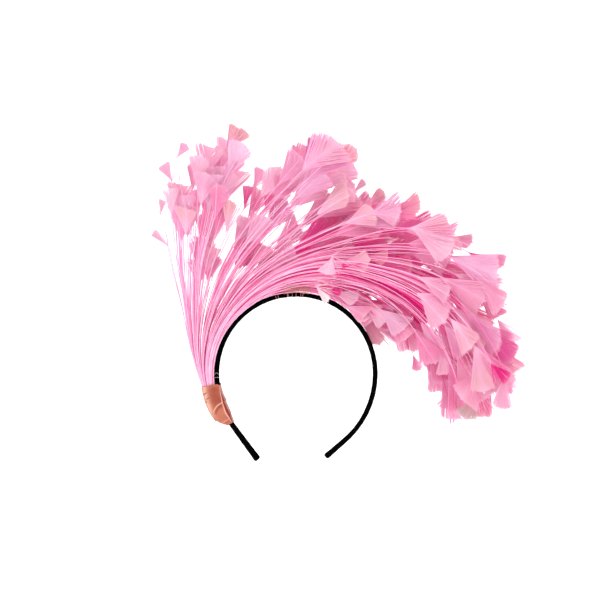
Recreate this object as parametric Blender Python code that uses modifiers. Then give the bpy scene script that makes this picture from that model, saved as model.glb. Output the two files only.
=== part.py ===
# A feather tiara: stripped quills with trimmed arrowhead tips, tied in bunches to one side of a
# satin headband and swept over its crown.
# Metres, +Z up. The wearer looks along -Y, and the tie is on the -X side.
# The origin is on the inner face of the band, at the middle of its crown.

import bisect
import math
import random

import bmesh
import bpy
from mathutils import Matrix, Vector

# Headband: a rounded flat section on a centreline of arcs and straight ends.
CROWN_RADIUS = 0.0689
BAND_THICKNESS = 0.0042
BAND_WIDTH = 0.0080
TIE_SIDE_RADIUS = 0.0805
TIE_SIDE_SWEEP = math.radians(36.5)
TIE_SIDE_END = 0.0336
FREE_SIDE_RADIUS = 0.077
FREE_SIDE_SWEEP = math.radians(49)
FREE_SIDE_END = 0.022
END_TWIST = math.radians(18)
TWIST_LENGTH = 0.060
END_FOLD_LENGTH = 0.0045
END_FOLD_SWELL = 1.12
BAND_STEP = 0.0085

# Every wrapped section is a superellipse of this exponent.
SQUARENESS = 3.0

# Ribbon wrap: a sleeve of ribbon round the band and the butts of the quills.
WRAP_DROP = 0.0095
WRAP_LENGTH = 0.036
WRAP_WALL = 0.0012
WRAP_OUT_REACH = 0.0134
WRAP_IN_REACH = 0.0054
WRAP_DEPTH_REACH = 0.0100
WRAP_SIDES = 20
FIT_GAP = 0.0003

# Shares of the sleeve's bulge past a tight fit on the band, from its mouth to its tail.
WRAP_SECTIONS = [
    # along, outward, inward, depth
    (0.00, 0.92, 0.17, 0.95),
    (0.12, 0.97, 0.50, 1.00),
    (0.38, 1.00, 0.92, 1.00),
    (0.60, 0.92, 1.00, 0.92),
    (0.78, 0.68, 0.80, 0.66),
    (0.92, 0.34, 0.30, 0.30),
    (1.00, 0.04, 0.04, 0.04),
]

# Quills: each bunch has its butt block under the wrap, two columns of quills across the fan.
BUNCH_NAMES = ["bunch_sweeping", "bunch_arching", "bunch_rising", "bunch_upright"]
COLUMNS = 2
LAYERS = 12
BUTT_LENGTH = 0.016
BUTT_PROUD = 0.001
BUTT_FILL = 0.90
QUILL_GAP = 0.0003
QUILL_WIDTH = 0.0012
QUILL_THICKNESS = 0.0010
PLUME_HEIGHT = 0.172
FAN_DEPTH_SLOPE = 0.21
FAN_DEPTH_EASE = 0.030
FAN_STAGGER = 0.9
SHORT_TRIM = (0.52, 0.74)
LONG_TRIM = (0.80, 1.0)
SEED = 8

# Trimmed tips: an arrowhead of vane that widens from the quill to a slanted cut.
TIP_LENGTH = 0.046
TIP_WIDTH = 0.036
TIP_THICKNESS = 0.0009
TIP_VARIATION = 0.2
TIP_SLANT = 0.35
TIP_TILT_SHARE = 0.75
TIP_ROOM_SHARE = 1.35

# Quill lines across the fan, from the upright side to the one that lies along the band. Each
# place is in degrees round the crown from the tie side, and in shares of the plume's height
# above the butt. The last column is the tip's share of its full size.
QUILL_LINES = [
    # across, degrees and height at 1/4, 1/2, 3/4 and the end, tip
    (0.00, 25, 0.150, 44, 0.377, 55, 0.639, 60, 0.948, 0.66),
    (0.10, 30, 0.137, 53, 0.362, 67, 0.623, 79, 0.883, 0.70),
    (0.21, 30, 0.091, 57, 0.256, 76, 0.458, 91, 0.667, 0.70),
    (0.31, 40, 0.091, 74, 0.274, 95, 0.545, 105, 0.835, 0.84),
    (0.37, 37, 0.057, 72, 0.190, 95, 0.398, 113, 0.625, 0.78),
    (0.44, 44, 0.059, 84, 0.213, 109, 0.452, 130, 0.675, 0.82),
    (0.55, 54, 0.051, 102, 0.228, 130, 0.528, 153, 0.750, 0.96),
    (0.67, 62, 0.047, 116, 0.226, 150, 0.492, 178, 0.680, 1.00),
    (0.82, 63, 0.034, 121, 0.178, 162, 0.376, 197, 0.560, 0.98),
    (0.92, 59, 0.017, 117, 0.120, 160, 0.267, 200, 0.400, 0.92),
    (1.00, 43, 0.006, 91, 0.034, 134, 0.068, 177, 0.075, 0.68),
]
LINE_STEPS = 60

# Places of the sections of every quill, in shares of a quarter turn of the band's crown, and
# the least share between the last of them and the tip.
SECTION_PLACES = [0.037, 0.175, 0.34, 0.53, 0.74, 0.99, 1.28, 1.60, 1.97, 2.39, 2.85]
SECTION_ROOM = 0.075

COLOURS = {
    # red, green, blue, roughness
    "black_satin": (0.012, 0.011, 0.014, 0.42),
    "copper_satin": (0.52, 0.20, 0.14, 0.38),
    "pink_quill": (0.90, 0.28, 0.52, 0.50),
}


def clear_scene():
    for item in list(bpy.data.objects):
        bpy.data.objects.remove(item)


def make_material(name):
    red, green, blue, roughness = COLOURS[name]
    material = bpy.data.materials.new(name)
    material.use_nodes = True
    shader = material.node_tree.nodes["Principled BSDF"]
    shader.inputs["Base Color"].default_value = (red, green, blue, 1)
    shader.inputs["Roughness"].default_value = roughness
    shader.inputs["Metallic"].default_value = 0
    return material


def smoothstep(share):
    share = min(max(share, 0), 1)
    return share * share * (3 - 2 * share)


def read_table(rows, at):
    # Straight interpolation between the rows of a table whose first column is the place.
    at = min(max(at, rows[0][0]), rows[-1][0])
    for low, high in zip(rows, rows[1:]):
        if at <= high[0]:
            share = (at - low[0]) / (high[0] - low[0])
            return [a + (b - a) * share for a, b in zip(low[1:], high[1:])]
    return list(rows[-1][1:])


def quarter_crown():
    return CROWN_RADIUS * math.pi / 2


def side_sizes(side):
    if side < 0:
        return TIE_SIDE_RADIUS, TIE_SIDE_SWEEP, TIE_SIDE_END
    return FREE_SIDE_RADIUS, FREE_SIDE_SWEEP, FREE_SIDE_END


def side_length(side):
    radius, sweep, end = side_sizes(side)
    return quarter_crown() + radius * sweep + end


def band_frame(distance, side):
    # Centre, direction away from the crown and outward normal at a distance along one side.
    radius, sweep, end = side_sizes(side)
    past = distance - quarter_crown()
    crown_centre = Vector((0, 0, BAND_THICKNESS / 2 - CROWN_RADIUS))
    if past <= 0:
        turn = distance / CROWN_RADIUS
        outward = Vector((math.sin(turn), 0, math.cos(turn)))
        along = Vector((math.cos(turn), 0, -math.sin(turn)))
        centre = crown_centre + outward * CROWN_RADIUS
    else:
        turn = min(past / radius, sweep)
        outward = Vector((math.cos(turn), 0, -math.sin(turn)))
        along = Vector((-math.sin(turn), 0, -math.cos(turn)))
        centre = crown_centre + Vector((CROWN_RADIUS - radius, 0, 0)) + outward * radius
        centre = centre + along * max(past - radius * sweep, 0)
    mirror = Vector((side, 1, 1))
    return centre * mirror, along * mirror, outward * mirror


def superellipse(angle, reach, half_depth):
    # Reach and depth at an angle round a wrapped section.
    power = 2 / SQUARENESS
    cosine, sine = math.cos(angle), math.sin(angle)
    return (
        math.copysign(abs(cosine) ** power, cosine) * reach,
        math.copysign(abs(sine) ** power, sine) * half_depth,
    )


def profile_curve(name, half_depth, half_thickness, sides):
    # Closed flat outline used as the section of a swept curve.
    curve = bpy.data.curves.new(name, "CURVE")
    curve.dimensions = "2D"
    spline = curve.splines.new("POLY")
    spline.points.add(sides - 1)
    spline.use_cyclic_u = True
    for index, point in enumerate(spline.points):
        reach, depth = superellipse(2 * math.pi * index / sides, half_thickness, half_depth)
        point.co = (depth, reach, 0, 1)
    outline = bpy.data.objects.new(name, curve)
    outline.hide_render = True
    outline.display_type = "WIRE"
    return outline


def build_headband(parts, guides, material):
    outline = profile_curve("band_section", BAND_WIDTH / 2, BAND_THICKNESS / 2, 16)
    guides.objects.link(outline)
    stations = []
    for side in (-1, 1):
        length = side_length(side)
        count = round((length - END_FOLD_LENGTH) / BAND_STEP)
        places = [(length - END_FOLD_LENGTH) * step / count for step in range(1, count + 1)]
        places.append(length)
        stations.append([(place, side) for place in places])
    route = stations[0][::-1] + [(0, 1)] + stations[1]
    curve = bpy.data.curves.new("headband", "CURVE")
    curve.dimensions = "3D"
    curve.twist_mode = "MINIMUM"
    curve.bevel_mode = "OBJECT"
    curve.bevel_object = outline
    curve.use_fill_caps = True
    spline = curve.splines.new("POLY")
    spline.points.add(len(route) - 1)
    for point, (place, side) in zip(spline.points, route):
        centre, along, outward = band_frame(place, side)
        from_end = side_length(side) - place
        point.co = (*centre, 1)
        point.radius = END_FOLD_SWELL if from_end < END_FOLD_LENGTH / 2 else 1
        point.tilt = side * END_TWIST * smoothstep(1 - from_end / TWIST_LENGTH)
    band = bpy.data.objects.new("headband", curve)
    band.data.materials.append(material)
    parts.objects.link(band)
    return band


def wrap_place(share):
    return quarter_crown() + WRAP_DROP + WRAP_LENGTH * share


def wrap_reaches(share):
    # Outward, inward and depth reach of the sleeve's outer face at a share of its length.
    outward, inward, depth = read_table(WRAP_SECTIONS, share)
    snug = FIT_GAP + WRAP_WALL
    tight = BAND_THICKNESS / 2 + snug
    tight_depth = BAND_WIDTH / 2 + snug
    return (
        tight + (WRAP_OUT_REACH - tight) * outward,
        tight + (WRAP_IN_REACH - tight) * inward,
        tight_depth + (WRAP_DEPTH_REACH - tight_depth) * depth,
    )


def build_wrap(parts, material):
    shape = bmesh.new()
    rings = []
    for row in WRAP_SECTIONS:
        centre, along, outward = band_frame(wrap_place(row[0]), -1)
        out_reach, in_reach, half_depth = wrap_reaches(row[0])
        ring = []
        for index in range(WRAP_SIDES):
            angle = 2 * math.pi * index / WRAP_SIDES
            side_reach = out_reach if math.cos(angle) > 0 else in_reach
            reach, depth = superellipse(angle, side_reach, half_depth)
            ring.append(shape.verts.new(centre + outward * reach + Vector((0, depth, 0))))
        rings.append(ring)
    for upper, lower in zip(rings, rings[1:]):
        for index in range(WRAP_SIDES):
            after = (index + 1) % WRAP_SIDES
            shape.faces.new((upper[index], upper[after], lower[after], lower[index]))
    bmesh.ops.recalc_face_normals(shape, faces=shape.faces)
    mesh = bpy.data.meshes.new("ribbon_wrap")
    shape.to_mesh(mesh)
    shape.free()
    wrap = bpy.data.objects.new("ribbon_wrap", mesh)
    wrap.data.materials.append(material)
    parts.objects.link(wrap)
    wall = wrap.modifiers.new("wall", "SOLIDIFY")
    wall.thickness = WRAP_WALL
    wall.offset = -1
    wall.use_even_offset = True
    return wrap


def butt_space():
    # How far out and how deep the butts may lie, inside the sleeve over their whole length.
    ends = [wrap_reaches(share) for share in (0, BUTT_LENGTH / WRAP_LENGTH)]
    snug = FIT_GAP + WRAP_WALL
    return min(end[0] for end in ends) - snug, min(end[2] for end in ends) - snug


def butt_reach(column):
    # Reach of the middle of a column of quills in the butt. A bunch is a whole number of columns.
    start = BAND_THICKNESS / 2 + FIT_GAP
    pitch = (butt_space()[0] * BUTT_FILL - start) / (COLUMNS * len(BUNCH_NAMES))
    return start + pitch * (column + 0.5)


def slab_limits(bunch):
    # Inner and outer reach and half depth of one bunch's butt block.
    low = butt_reach(bunch * COLUMNS - 0.5) + FIT_GAP / 2
    high = butt_reach((bunch + 1) * COLUMNS - 0.5) - FIT_GAP / 2
    reach, half_depth = butt_space()
    return low, high, half_depth * (1 - (high / reach) ** SQUARENESS) ** (1 / SQUARENESS)


def on_butt(share, reach, depth):
    # Point in the butt, at a share of its length down from its top.
    place = wrap_place(0) - BUTT_PROUD + (BUTT_LENGTH + BUTT_PROUD) * share
    centre, along, outward = band_frame(place, -1)
    return centre + outward * reach + Vector((0, depth, 0))


def curve_through(knots, place):
    # Smooth curve through evenly spaced knots, place 0 at the first and 1 at the last.
    spot = place * (len(knots) - 1)
    low = min(int(spot), len(knots) - 2)
    share = spot - low
    before = knots[low - 1] if low else Vector((2 * knots[0][0] - knots[1][0], knots[0][1]))
    after = knots[low + 2] if low + 2 < len(knots) else 2 * knots[-1] - knots[-2]
    first, second = knots[low], knots[low + 1]
    slope = (second - before) / 2
    next_slope = (after - first) / 2
    rise = second - first
    return (
        first
        + slope * share
        + (3 * rise - 2 * slope - next_slope) * share**2
        + (slope + next_slope - 2 * rise) * share**3
    )


def quill_line(column, stagger):
    # Points in the plane of the band along a whole quill line, and the run to each of them.
    across = 1 - (column + 0.5 + stagger) / (COLUMNS * len(BUNCH_NAMES))
    row = read_table(QUILL_LINES, across)
    crown_centre = Vector((0, 0, BAND_THICKNESS / 2 - CROWN_RADIUS))
    reach = butt_reach(column)
    start = on_butt(0, reach, 0) - crown_centre
    knots = [Vector((math.atan2(start.z, -start.x), start.length))]
    for degrees, height in zip(row[0:8:2], row[1:8:2]):
        knots.append(Vector((math.radians(degrees), CROWN_RADIUS + reach + height * PLUME_HEIGHT)))
    points, runs = [], [0]
    for step in range(LINE_STEPS + 1):
        turn, radius = curve_through(knots, step / LINE_STEPS)
        points.append(crown_centre + Vector((-math.cos(turn), 0, math.sin(turn))) * radius)
        if step:
            runs.append(runs[-1] + (points[-1] - points[-2]).length)
    return points, runs, row[-1]


def along_line(line, run):
    # Point and direction at a run along a quill line.
    points, runs, tip = line
    place = min(max(bisect.bisect_left(runs, run), 1), len(runs) - 1)
    share = (run - runs[place - 1]) / (runs[place] - runs[place - 1])
    return (
        points[place - 1].lerp(points[place], share),
        (points[place] - points[place - 1]).normalized(),
    )


def fan_depth(run):
    # How far the outermost layer leans out of the band's plane at a run along the quill.
    return FAN_DEPTH_SLOPE * run * run / (run + FAN_DEPTH_EASE)


def layer_staggers():
    # Each layer of the whole fan is turned a little against the ones beside it.
    staggers = [FAN_STAGGER * (layer / (LAYERS - 1) - 0.5) for layer in range(LAYERS)]
    random.Random(SEED).shuffle(staggers)
    return staggers


def quill_sections(column, layer, stagger, half_depth, chance):
    # Centre, slant of the cut, width and thickness directions, width and thickness of sections.
    line = quill_line(column, stagger)
    beside = [quill_line(column + side, stagger) for side in (-1, 1)]
    length = line[1][-1]
    shortest, longest = LONG_TRIM if (column + layer) % 2 else SHORT_TRIM
    trimmed = chance.uniform(shortest, longest) * length
    tip_size = line[2] * (1 + TIP_VARIATION * chance.uniform(-1, 1))
    shaft = trimmed - TIP_LENGTH * tip_size
    layer_share = 2 * layer / (LAYERS - 1) - 1

    def width_room(run):
        centre = along_line(line, run)[0]
        return min((centre - along_line(other, run)[0]).length for other in beside)

    def depth_room(run):
        return 2 * half_depth / LAYERS + 2 * fan_depth(run) / (LAYERS - 1)

    sections = []
    runs = [share * quarter_crown() for share in SECTION_PLACES]
    for run in [run for run in runs if run < shaft - SECTION_ROOM * quarter_crown()] + [shaft]:
        width = min(QUILL_WIDTH, width_room(run) - QUILL_GAP)
        thickness = min(QUILL_THICKNESS, depth_room(run) - QUILL_GAP)
        sections.append((run, width, thickness, 0, 0))
    tip_width = min(TIP_WIDTH * tip_size, TIP_ROOM_SHARE * width_room(trimmed))
    lean = TIP_TILT_SHARE * (depth_room(shaft) - TIP_THICKNESS) / tip_width
    tilt = math.asin(max(min(lean, 0.5), 0)) * chance.uniform(-1, 1)
    slant = TIP_SLANT * chance.uniform(-1, 1)
    sections.append((trimmed, tip_width, TIP_THICKNESS, tilt, slant))

    placed = []
    start_depth = half_depth * (2 * layer + 1 - LAYERS) / LAYERS
    for run, width, thickness, roll, cut in sections:
        centre, along = along_line(line, run)
        centre.y = start_depth + layer_share * fan_depth(run)
        turn = Matrix.Rotation(roll, 3, along)
        across_plane = turn @ Vector((along.z, 0, -along.x))
        out_of_plane = turn @ Vector((0, 1, 0))
        placed.append((centre, along * cut, across_plane, out_of_plane, width, thickness))
    return placed


def build_butt(shape, rim, spots):
    # Draws the edge of the butt's top down inside the sleeve beside the band, and closes it.
    for share in (0.5, 1.0):
        drawn = bmesh.ops.extrude_edge_only(shape, edges=rim)["geom"]
        rim = [item for item in drawn if isinstance(item, bmesh.types.BMEdge) and item.is_boundary]
        below = {}
        for vert in [item for item in drawn if isinstance(item, bmesh.types.BMVert)]:
            others = [edge.other_vert(vert) for edge in vert.link_edges]
            below[vert] = next(spots[other] for other in others if other in spots)
        for vert, (reach, depth) in below.items():
            vert.co = on_butt(share, reach, depth)
        spots = below
    bmesh.ops.holes_fill(shape, edges=rim)


def build_bunch(parts, bunch, material):
    name = BUNCH_NAMES[bunch]
    low, high, half_depth = slab_limits(bunch)
    chance = random.Random(SEED + bunch)
    staggers = layer_staggers()
    shape = bmesh.new()
    number = shape.faces.layers.int.new("quill")

    # The butt's top is a grid with a cell for each quill.
    bmesh.ops.create_grid(shape, x_segments=COLUMNS, y_segments=LAYERS, size=0.5)
    cells = list(shape.faces)
    routes = []
    corners = []
    for cell in cells:
        middle = cell.calc_center_median()
        column = int((middle.x + 0.5) * COLUMNS) + bunch * COLUMNS
        layer = int((middle.y + 0.5) * LAYERS)
        cell[number] = len(routes)
        routes.append(quill_sections(column, layer, staggers[layer], half_depth, chance))
        corners.append([
            (math.copysign(0.5, vert.co.x - middle.x), math.copysign(0.5, vert.co.y - middle.y))
            for vert in cell.verts
        ])
    spots = {
        vert: (low + (vert.co.x + 0.5) * (high - low), vert.co.y * 2 * half_depth)
        for vert in shape.verts
    }
    for vert, (reach, depth) in spots.items():
        vert.co = on_butt(0, reach, depth)
    build_butt(shape, [edge for edge in shape.edges if edge.is_boundary], spots)

    # The quills are drawn out of the cells one section at a time.
    bmesh.ops.inset_individual(shape, faces=cells, thickness=QUILL_GAP / 2)
    ends = cells
    for step in range(max(len(route) for route in routes)):
        growing = [end for end in ends if step < len(routes[end[number]])]
        ends = bmesh.ops.extrude_discrete_faces(shape, faces=growing)["faces"]
        for end in ends:
            centre, cut, across_plane, out_of_plane, width, thickness = routes[end[number]][step]
            for vert, (side, face) in zip(end.verts, corners[end[number]]):
                vert.co = centre + (cut - across_plane) * (side * width)
                vert.co += out_of_plane * (face * thickness)
    bmesh.ops.recalc_face_normals(shape, faces=shape.faces)
    mesh = bpy.data.meshes.new(name)
    shape.to_mesh(mesh)
    shape.free()
    plume = bpy.data.objects.new(name, mesh)
    plume.data.materials.append(material)
    parts.objects.link(plume)
    return plume


def main():
    clear_scene()
    parts = bpy.data.collections.new("feather_tiara")
    guides = bpy.data.collections.new("guides")
    bpy.context.scene.collection.children.link(parts)
    bpy.context.scene.collection.children.link(guides)
    build_headband(parts, guides, make_material("black_satin"))
    build_wrap(parts, make_material("copper_satin"))
    pink = make_material("pink_quill")
    for bunch in range(len(BUNCH_NAMES)):
        build_bunch(parts, bunch, pink)
    for item in parts.objects:
        if item.type == "MESH":
            item.data.shade_flat()


main()
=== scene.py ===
# Looks of the feather tiara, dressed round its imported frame. Blender 4.5.
import bisect
import random
from math import atan2, copysign, cos, degrees, exp, pi, radians, sin, sqrt, tau

import bmesh
import bpy
from mathutils import Matrix, Vector


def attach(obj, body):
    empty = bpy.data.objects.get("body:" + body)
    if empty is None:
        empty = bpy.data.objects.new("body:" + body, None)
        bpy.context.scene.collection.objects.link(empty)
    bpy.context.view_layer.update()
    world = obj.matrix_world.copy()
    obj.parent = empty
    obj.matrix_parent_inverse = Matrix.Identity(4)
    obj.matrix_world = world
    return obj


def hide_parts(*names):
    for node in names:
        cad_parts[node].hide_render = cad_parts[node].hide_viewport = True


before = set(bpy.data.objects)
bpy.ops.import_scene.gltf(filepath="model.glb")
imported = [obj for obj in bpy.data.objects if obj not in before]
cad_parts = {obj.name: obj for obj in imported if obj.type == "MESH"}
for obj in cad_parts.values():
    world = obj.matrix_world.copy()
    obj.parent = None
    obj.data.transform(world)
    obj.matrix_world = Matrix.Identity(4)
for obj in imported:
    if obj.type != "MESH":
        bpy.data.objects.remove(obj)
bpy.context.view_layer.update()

photo = {
    "width": 615,  # pixels
    "pixelSize": 0.00087,  # metres to the pixel in the plane of the band
    "centre": (0.0100, 0.0, -0.0020),  # the point of the object in the middle of the picture
    "lens": 85,  # mm
    "sensor": 36,  # mm
}

band = {
    "crownRadius": 0.0689,
    "thickness": 0.0042,
    "width": 0.0080,
    "tieSide": (0.0805, 36.5, 0.0336),  # radius, degrees of sweep, straight end
    "freeSide": (0.077, 49, 0.022),
    "endTwist": 18,  # degrees
    "twistLength": 0.060,
    "foldLength": 0.0045,
    "foldSwell": 1.10,
    "rimDraw": 0.30,  # how far the rim of a folded end is drawn in
    "rimLength": 0.0012,
    "squareness": 3.0,
    "ringStep": 0.0007,
    "sides": 32,
    "turnPitch": 0.0088,  # the satin ribbon moves on this much with each turn
    "ridge": 0.00016,  # how far an edge of the ribbon stands over the turn below
}

wrap = {
    "drop": 0.0095,  # from the end of the quarter turn of the crown to the mouth of the wrap
    "length": 0.036,
    "wall": 0.0012,
    "ribbon": 0.0007,
    "outReach": 0.0134,
    "inReach": 0.0054,
    "depthReach": 0.0100,
    "gap": 0.0003,
    "fullness": 0.94,  # share of the room in the wrap that the butts may take
}

plume = {
    "pieces": ["sweeping", "arching", "rising", "upright"],
    "height": 0.172,
    "buttLength": 0.016,
    "buttFill": 0.90,
    "buttDepth": 0.92,  # share of the wrap's depth that the butts take up
    "buttPlaces": (0.8, 0.35),  # points of a shaft below the mouth, as shares of the butt's length
    "buttTaper": 0.10,
    "mouthFill": 1.14,  # the quills fill the mouth of the wrap to its edge
    "depthSlope": 0.21,
    "depthEase": 0.030,
    "lineSteps": 60,
    "lineCount": 80,  # lines that the listed vanes are matched with
    "clearRun": 0.03,  # none of those vanes starts nearer to the wrap than this
    "shaftStep": 0.0075,
    "shaftRadius": 0.00058,
    "tipRadius": 0.00026,
    "shaftSides": 5,
    "wobble": 0.0014,
    "wobbleTurn": 38,  # radians to the metre
    "ease": 0.08,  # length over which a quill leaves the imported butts
    "fill": [106, 84, 46, 50],  # feathers in each bunch beside the listed ones
    "lashed": 0.10,  # lines past the last bunch that are tied down to the crown of the band
    "tuck": (0.82, 0.2),  # where the quills begin to keep close to the band, and over what share
    "quillDepth": [1.1, 0.90, 0.40, 0.40],  # depth of pink of the deepest quills of each bunch
    "quillTones": (0.7, 0.8),  # share of that depth that is painted shade for lying inside the plume, and that comes from chance
    "inner": 0.4,  # share of the feathers that end inside the plume
    "innerLines": (0.13, 0.94),
    "innerReach": (0.52, 0.80),  # share of their line that they reach along
    "outerReach": (0.82, 1),
    "innerLayers": (1.2, 0.4),  # depth that they spread over, and how much of it is in front
    "outerLayers": (1.8, 0.9),
    "layerStep": 0.618,
    "deepest": [0.85, 1.0, 0.50, 0.30],  # depth of pink of the deepest vanes of each bunch
    "vaneTones": (0.8, 0.55),  # share of that depth that comes from chance, and that is painted shade for lying inside the plume
    "partings": [  # middle and half width across
        (0.055, 0.022), (0.200, 0.048), (0.300, 0.012), (0.370, 0.035), (0.46, 0.012),
    ],
    "strayShare": 0.06,  # feathers that stay in a parting
    "drift": 0.0045,  # how far a tip strays from its line
    "driftEnd": (1.15, 0.3),  # where the drift ends, and over what share it fades
    "leastRun": 0.05,  # no quill is cut shorter than this to stay inside the outline
    "trimStep": 0.002,
    "seed": 3,
}

strand = {  # thin strands that cross the quills
    "counts": [14, 12, 12, 8],
    "radius": 0.00020,
    "bow": 0.004,
    "cross": 0.14,  # share of the plume that one may cross
    "lowest": 0.95,
    "layer": (0.75, 1.0),
    "depth": 0.9,
    "reach": (0.6, 0.9),
    "steps": 24,
    "late": 0.3,  # share of its length before it leaves its line
    "tone": 0.1,
}

tips = {  # the trimmed vane at the end of each quill
    "length": 0.039,
    "width": 0.037,
    "sizes": (0.75, 1.1),
    "cornerRound": 0.11,
    "barbSpacing": 0.00056,
    "barbWidth": 0.00046,
    "barbThickness": 0.00012,
    "leastBarbs": 12,
    "leastReach": 0.05,  # shortest barb as a share of the vane
    "swing": 7,  # the rib takes the vane's heading within 1 / 7 of its length
    "opening": 0.10,  # radians that the barbs open by towards the cut end
    "clump": (4, 10),  # barbs that hold together
    "clumpAngle": 0.015,
    "clumpReach": 0.02,
    "twist": 22,  # degrees
    "curl": 14,  # degrees
    "slant": 0.35,
    "notch": 0.25,
    "handTurned": 0.4,  # share of the twist and curl left in the listed vanes
    "warmth": (0.25, 0.42),  # middle and spread, 1 being a peach end
    "leastWarmth": -0.3,
    "coolingInShade": 0.75,  # share of the warmth taken out in the middle of the plume, where the painted shade keeps a deep pink
    "droop": 0.12,  # radians that the barbs fold out of the flat
    "droopSpread": 0.10,
    "raggedEnds": 0.022,
    "looseAngle": 0.02,
}

# Quill lines from the upright side to the one along the band: degrees round the crown from the
# tie side and height as a share of the plume's, at 1/4, 1/2, 3/4 and the end, then the tip's size.
quillRows = [
    (0.00, 25, 0.150, 44, 0.377, 55, 0.639, 60, 0.948, 0.66),
    (0.10, 30, 0.137, 53, 0.362, 67, 0.623, 79, 0.883, 0.70),
    (0.21, 30, 0.091, 57, 0.256, 76, 0.458, 91, 0.667, 0.70),
    (0.31, 40, 0.091, 74, 0.274, 95, 0.545, 105, 0.835, 0.84),
    (0.37, 37, 0.057, 72, 0.190, 95, 0.398, 113, 0.625, 0.78),
    (0.44, 44, 0.059, 84, 0.213, 109, 0.452, 130, 0.675, 0.82),
    (0.55, 54, 0.051, 102, 0.228, 130, 0.528, 153, 0.750, 0.96),
    (0.67, 62, 0.047, 116, 0.226, 150, 0.492, 178, 0.680, 1.00),
    (0.82, 63, 0.034, 121, 0.178, 162, 0.376, 197, 0.560, 0.98),
    (0.92, 59, 0.017, 117, 0.120, 160, 0.267, 200, 0.400, 0.92),
    (1.00, 43, 0.006, 91, 0.034, 134, 0.068, 177, 0.075, 0.68),
    (1.10, 43, 0.001, 86, 0.004, 120, 0.012, 150, 0.045, 0.55),
]

# How far the longest feathers reach along their lines, as a share of the line.
trimRows = [
    (0.00, 0.88), (0.05, 0.80), (0.10, 0.93), (0.16, 0.79), (0.21, 0.98), (0.27, 1.03), (0.35, 0.89),
    (0.50, 0.91), (0.67, 1.00), (0.80, 0.98), (0.92, 0.97), (1.00, 0.87), (1.10, 1.00),
]

# How far the plume reaches round the crown's centre: degrees from the tie side and mm.
outlineRows = [
    (50, 205), (57, 220), (64, 226), (71, 222), (76, 224), (79, 205), (80.5, 182), (84, 181), (88, 196),
    (93, 207), (100, 219), (104, 200), (107, 172), (115, 168), (125, 181), (133, 190), (138, 178),
    (145, 188), (152, 203), (157, 180), (163, 190), (171, 199), (185, 191), (196, 146), (205, 120),
]

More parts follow.
